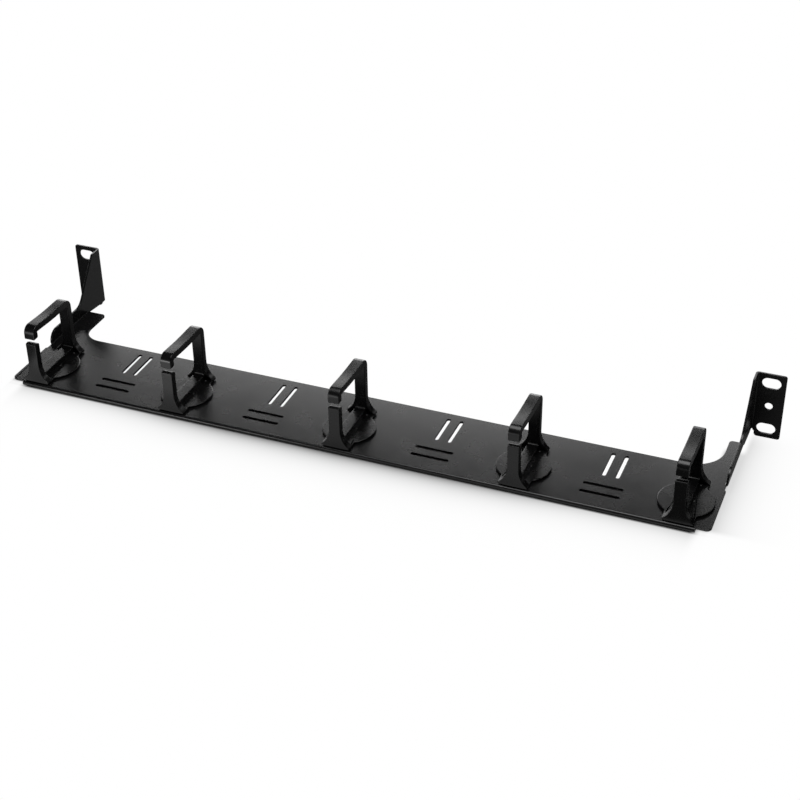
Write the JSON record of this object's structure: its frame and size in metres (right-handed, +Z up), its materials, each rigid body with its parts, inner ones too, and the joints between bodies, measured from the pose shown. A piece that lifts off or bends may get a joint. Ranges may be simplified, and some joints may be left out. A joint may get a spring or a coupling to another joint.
{
  "type": "horizontal cable manager",
  "caption": "One-unit rack cable manager: folded black steel shelf on side arms with rack ears, carrying moulded open-front cable rings and punched tie slots.",
  "frame": {"origin": "middle between the rack ears, on their rear (rail contact) face, at the centre line of the rack unit", "axes": "+X across the rack to the right as seen from the front, +Y into the rack, +Z up; the shelf lies in front of the rails, towards -Y"},
  "size_m": [0.4826, 0.1157, 0.0477],
  "materials": {
    "powder_coated_steel": "satin black powder coat",
    "ring_plastic": "semi-gloss black"
  },
  "bodies": {
    "root": {"panel": "powder_coated_steel", "ring_1": "ring_plastic", "ring_2": "ring_plastic", "ring_3": "ring_plastic", "ring_4": "ring_plastic", "ring_5": "ring_plastic"}
  },
  "joints": []
}
